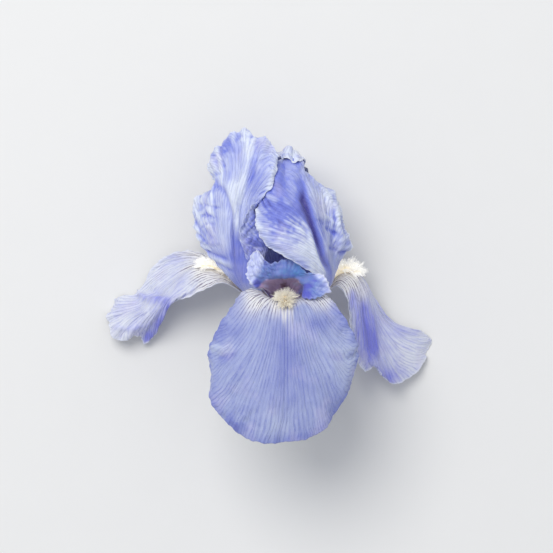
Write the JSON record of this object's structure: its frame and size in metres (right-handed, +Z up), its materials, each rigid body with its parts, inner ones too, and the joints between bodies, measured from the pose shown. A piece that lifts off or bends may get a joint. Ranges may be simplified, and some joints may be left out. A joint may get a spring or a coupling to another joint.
{
  "type": "bearded iris flower",
  "caption": "Cut bearded iris bloom lying on its back: frilled falls with beards, upright standards, crested style, ovary, papery bracts and a short stalk.",
  "frame": {"origin": "on the surface that the flower lies on, under the middle of its box", "axes": "+Y along the flower's axis from the stalk to the standards, +X to the right seen from above, +Z up, out of the front fall's face"},
  "size_m": [0.1492, 0.1403, 0.0749],
  "materials": {
    "fall_petal": "soft matte petal, lavender blue with fine veins",
    "side_fall_petal": "soft matte petal, pale lilac with fine veins",
    "standard_petal": "soft matte petal, lavender blue, deeper in the folds",
    "beard": "fine cream hairs",
    "style": "thin satin petal, pale blue with a violet edge",
    "stamen": "matte, cream and pollen",
    "tube": "waxy pale green flushed violet",
    "green": "waxy green with a light bloom",
    "bract": "dry and papery at the edge, green below"
  },
  "bodies": {
    "root": {"fall_front": "fall_petal", "fall_left": "side_fall_petal", "fall_right": "side_fall_petal", "standard_left": "standard_petal", "standard_right": "standard_petal", "standard_back": "standard_petal", "beard_front": "beard", "beard_left": "beard", "beard_right": "beard", "style": "style", "stamen_front": "stamen", "stamen_left": "stamen", "stamen_right": "stamen", "perianth_tube": "tube", "ovary": "green", "stalk": "green", "bract_outer": "bract", "bract_inner": "bract"}
  },
  "joints": []
}
